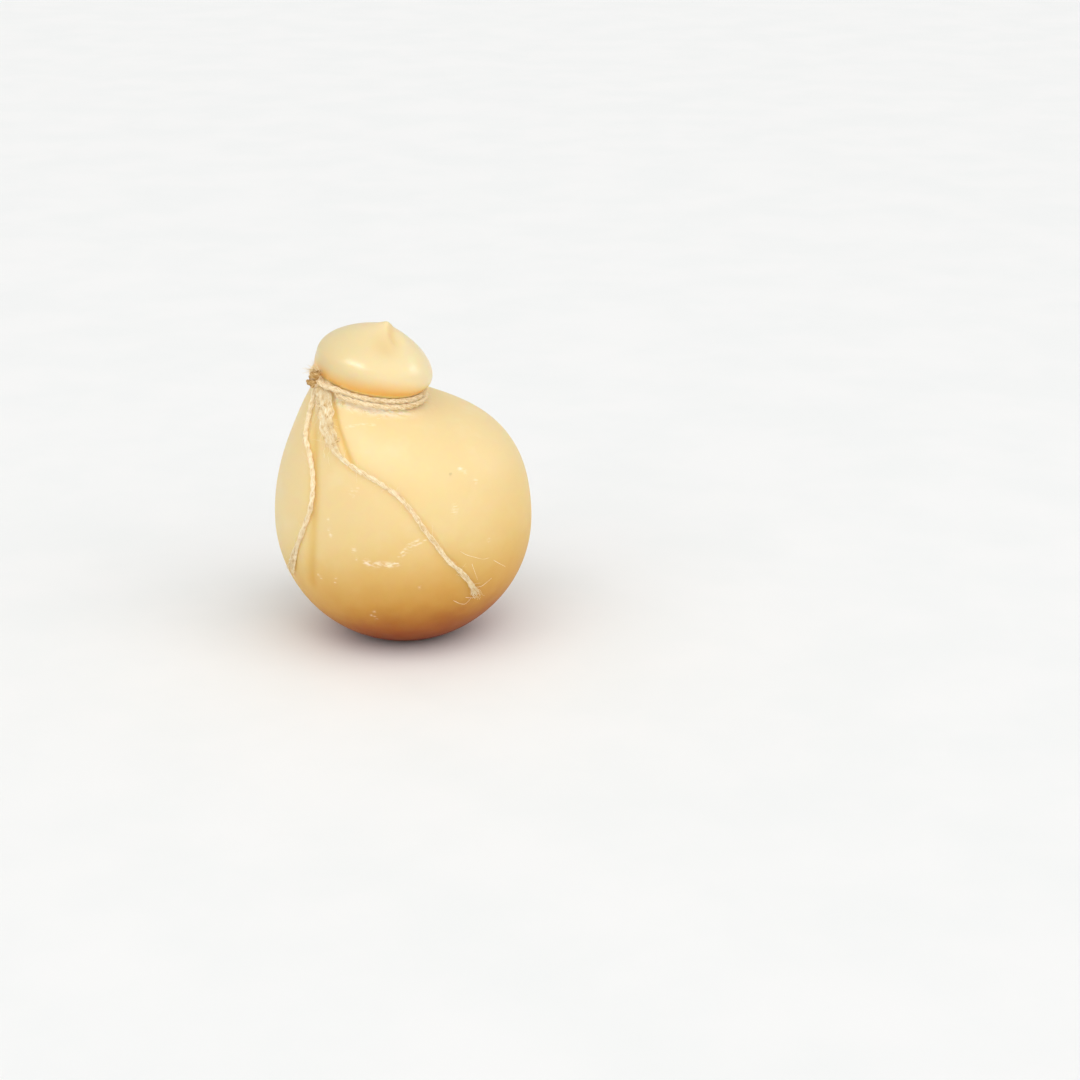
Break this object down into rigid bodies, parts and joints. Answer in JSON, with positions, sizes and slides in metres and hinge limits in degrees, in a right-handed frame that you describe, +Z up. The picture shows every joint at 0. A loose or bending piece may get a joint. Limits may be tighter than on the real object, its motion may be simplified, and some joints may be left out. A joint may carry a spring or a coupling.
{
  "type": "caciocavallo cheese",
  "caption": "Pear-shaped stretched-curd cheese with a smooth waxy rind, a round head above a tied neck, and twine with loose tails.",
  "frame": {"origin": "middle of the footprint on the surface that the cheese stands on", "axes": "+Z up from foot to head, -Y towards the viewer of the front, +X to the viewer's right"},
  "size_m": [0.1294, 0.1293, 0.1618],
  "materials": {
    "rind": "smooth waxy rind, satin, slightly translucent",
    "twine": "twisted plant-fibre twine, matte and hairy",
    "fibre": "loose untwisted plant fibre, matte"
  },
  "bodies": {
    "root": {"cheese": "rind", "neck_twine": "twine", "knot": "twine", "frayed_bundle": "fibre", "tail_left": "twine", "tail_right": "twine"}
  },
  "joints": []
}
